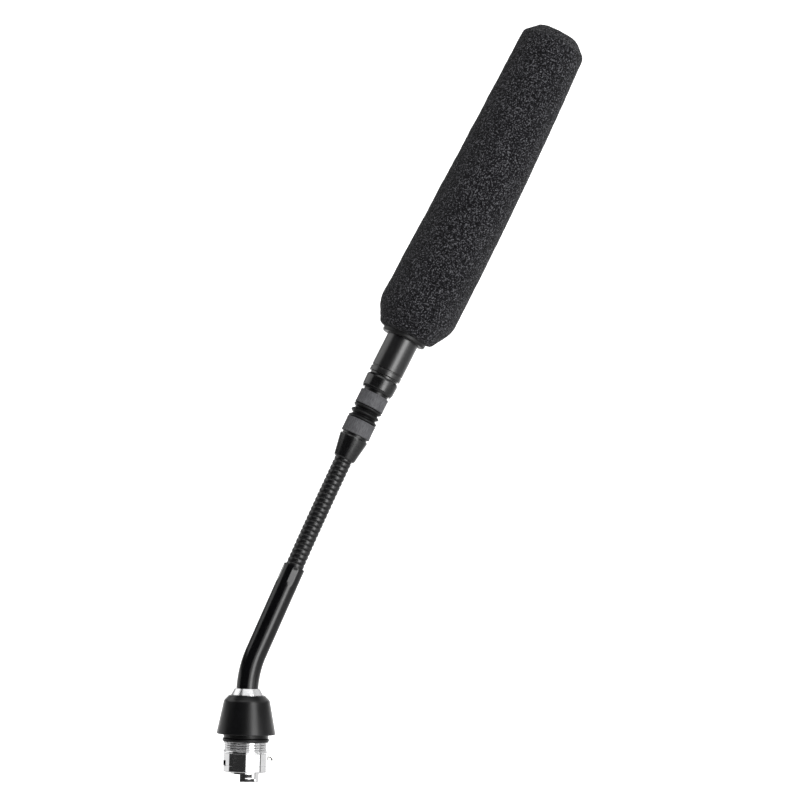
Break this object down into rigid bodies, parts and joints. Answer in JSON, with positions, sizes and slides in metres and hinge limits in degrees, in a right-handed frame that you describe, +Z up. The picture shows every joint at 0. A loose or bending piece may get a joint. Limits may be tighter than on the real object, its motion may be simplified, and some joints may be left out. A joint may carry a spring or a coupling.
{
  "type": "gooseneck podium microphone",
  "caption": "Gooseneck podium microphone with foam windscreen, rubber isolator and a threaded locking collar over its plug-in connector.",
  "frame": {"origin": "centre of the skirt's flat underside, on the connector's axis, where the microphone seats on a table bushing", "axes": "+Z up along the connector, tube and head lean towards +X in the XZ plane"},
  "size_m": [0.1472, 0.0332, 0.3199],
  "materials": {
    "nickel_plate": "satin",
    "spring_steel": "satin",
    "insulating_plastic": "matte",
    "contact_plate": "satin",
    "gloss_black_tube": "gloss",
    "black_wound_wire": "satin",
    "cable_jacket": "matte",
    "seal_rubber": "satin",
    "black_plastic": "gloss",
    "satin_black_skirt": "satin",
    "gloss_black_aluminium": "gloss",
    "isolator_rubber": "matte",
    "board_laminate": "satin",
    "membrane_film": "satin",
    "acoustic_cloth": "matte",
    "foam": "matte"
  },
  "bodies": {
    "base": {"connector_shell": "nickel_plate", "ground_spring": "spring_steel", "keyed_nose": "nickel_plate", "pin_insulator": "insulating_plastic", "contact_pins": "contact_plate", "cable_clamp": "insulating_plastic", "tube_anchor_bush": "spring_steel", "collar_nut": "nickel_plate", "lower_tube": "gloss_black_tube", "neck_lower_end": "black_wound_wire", "signal_cable": "cable_jacket"},
    "collar": {"threaded_sleeve": "nickel_plate", "sleeve_o_ring": "seal_rubber", "sleeve_washer": "black_plastic", "skirt_collar": "satin_black_skirt"},
    "neck_01": {"neck_turns_01": "black_wound_wire"},
    "neck_02": {"neck_turns_02": "black_wound_wire"},
    "neck_03": {"neck_turns_03": "black_wound_wire"},
    "neck_04": {"neck_turns_04": "black_wound_wire"},
    "neck_05": {"neck_turns_05": "black_wound_wire"},
    "neck_06": {"neck_turns_06": "black_wound_wire"},
    "neck_07": {"neck_turns_07": "black_wound_wire"},
    "neck_08": {"neck_turns_08": "black_wound_wire"},
    "neck_09": {"neck_turns_09": "black_wound_wire"},
    "neck_10": {"neck_turns_10": "black_wound_wire"},
    "neck_11": {"neck_turns_11": "black_wound_wire"},
    "ferrule": {"neck_upper_end": "black_wound_wire", "neck_ferrule": "gloss_black_aluminium", "ferrule_stud": "satin_black_skirt", "isolator_lower_band": "isolator_rubber"},
    "isolator": {"isolator_ribs": "seal_rubber"},
    "head": {"isolator_upper_band": "isolator_rubber", "head_stud": "satin_black_skirt", "body_lip": "gloss_black_aluminium", "body_tube": "gloss_black_aluminium", "contact_disc": "insulating_plastic", "disc_contacts": "contact_plate", "amplifier_board": "board_laminate", "output_transformer": "insulating_plastic", "capsule_housing": "contact_plate", "capsule_back_plate": "contact_plate", "capsule_insulator": "insulating_plastic", "capsule_spacer": "insulating_plastic", "capsule_membrane": "membrane_film", "membrane_ring": "contact_plate", "interference_tube": "satin_black_skirt", "slot_cloth": "acoustic_cloth", "front_grille": "satin_black_skirt"},
    "coupling": {"coupling_ring": "gloss_black_aluminium"},
    "windscreen": {"windscreen_ring": "black_plastic", "foam_windscreen": "foam"}
  },
  "joints": [
    {"name": "collar_turn", "type": "hinge", "parent": "base", "child": "collar", "pos_m": [0, 0, 0], "axis": [0, 0, 1], "continuous": true},
    {"name": "neck_bend_1", "type": "hinge", "parent": "base", "child": "neck_01", "pos_m": [0.01917, 0, 0.07156], "axis": [0, 1, 0], "range_deg": [-10, 10], "deforming": ["signal_cable"]},
    {"name": "neck_sway_1", "type": "hinge", "parent": "neck_01", "child": "neck_02", "pos_m": [0.02076, 0, 0.07534], "axis": [0.9207, 0, -0.3902], "range_deg": [-10, 10]},
    {"name": "neck_bend_2", "type": "hinge", "parent": "neck_02", "child": "neck_03", "pos_m": [0.02236, 0, 0.07912], "axis": [0, 1, 0], "range_deg": [-10, 10]},
    {"name": "neck_sway_2", "type": "hinge", "parent": "neck_03", "child": "neck_04", "pos_m": [0.02397, 0, 0.08289], "axis": [0.9189, 0, -0.3945], "range_deg": [-10, 10]},
    {"name": "neck_bend_3", "type": "hinge", "parent": "neck_04", "child": "neck_05", "pos_m": [0.02559, 0, 0.08665], "axis": [0, 1, 0], "range_deg": [-10, 10]},
    {"name": "neck_sway_3", "type": "hinge", "parent": "neck_05", "child": "neck_06", "pos_m": [0.02721, 0, 0.09042], "axis": [0.9171, 0, -0.3987], "range_deg": [-10, 10]},
    {"name": "neck_bend_4", "type": "hinge", "parent": "neck_06", "child": "neck_07", "pos_m": [0.02885, 0, 0.09418], "axis": [0, 1, 0], "range_deg": [-10, 10]},
    {"name": "neck_sway_4", "type": "hinge", "parent": "neck_07", "child": "neck_08", "pos_m": [0.03049, 0, 0.09793], "axis": [0.9152, 0, -0.403], "range_deg": [-10, 10]},
    {"name": "neck_bend_5", "type": "hinge", "parent": "neck_08", "child": "neck_09", "pos_m": [0.03215, 0, 0.10169], "axis": [0, 1, 0], "range_deg": [-10, 10]},
    {"name": "neck_sway_5", "type": "hinge", "parent": "neck_09", "child": "neck_10", "pos_m": [0.03381, 0, 0.10544], "axis": [0.9133, 0, -0.4073], "range_deg": [-10, 10]},
    {"name": "neck_bend_6", "type": "hinge", "parent": "neck_10", "child": "neck_11", "pos_m": [0.03548, 0, 0.10918], "axis": [0, 1, 0], "range_deg": [-10, 10]},
    {"name": "neck_sway_6", "type": "hinge", "parent": "neck_11", "child": "ferrule", "pos_m": [0.03716, 0, 0.11292], "axis": [0.9114, 0, -0.4115], "range_deg": [-10, 10]},
    {"name": "isolator_nod", "type": "hinge", "parent": "ferrule", "child": "isolator", "pos_m": [0.0465, 0, 0.13361], "axis": [0, 1, 0], "range_deg": [-4, 4], "stiffness_Nm_per_rad": 4, "deforming": ["isolator_ribs"]},
    {"name": "isolator_sway", "type": "hinge", "parent": "isolator", "child": "head", "pos_m": [0.0465, 0, 0.13361], "axis": [0.9063, 0, -0.4226], "range_deg": [-4, 4], "stiffness_Nm_per_rad": 4},
    {"name": "coupling_turn", "type": "hinge", "parent": "head", "child": "coupling", "pos_m": [0.05239, 0, 0.14586], "axis": [0.4337, 0, 0.9011], "continuous": true},
    {"name": "windscreen_slide", "type": "slide", "parent": "head", "child": "windscreen", "axis": [0.4337, 0, 0.9011], "range_m": [0, 0.14]}
  ],
  "couplings": [
    {"joint": "neck_bend_2", "follows": "neck_bend_1", "ratio": 1},
    {"joint": "neck_sway_2", "follows": "neck_sway_1", "ratio": 1},
    {"joint": "neck_bend_3", "follows": "neck_bend_1", "ratio": 1},
    {"joint": "neck_sway_3", "follows": "neck_sway_1", "ratio": 1},
    {"joint": "neck_bend_4", "follows": "neck_bend_1", "ratio": 1},
    {"joint": "neck_sway_4", "follows": "neck_sway_1", "ratio": 1},
    {"joint": "neck_bend_5", "follows": "neck_bend_1", "ratio": 1},
    {"joint": "neck_sway_5", "follows": "neck_sway_1", "ratio": 1},
    {"joint": "neck_bend_6", "follows": "neck_bend_1", "ratio": 1},
    {"joint": "neck_sway_6", "follows": "neck_sway_1", "ratio": 1}
  ]
}
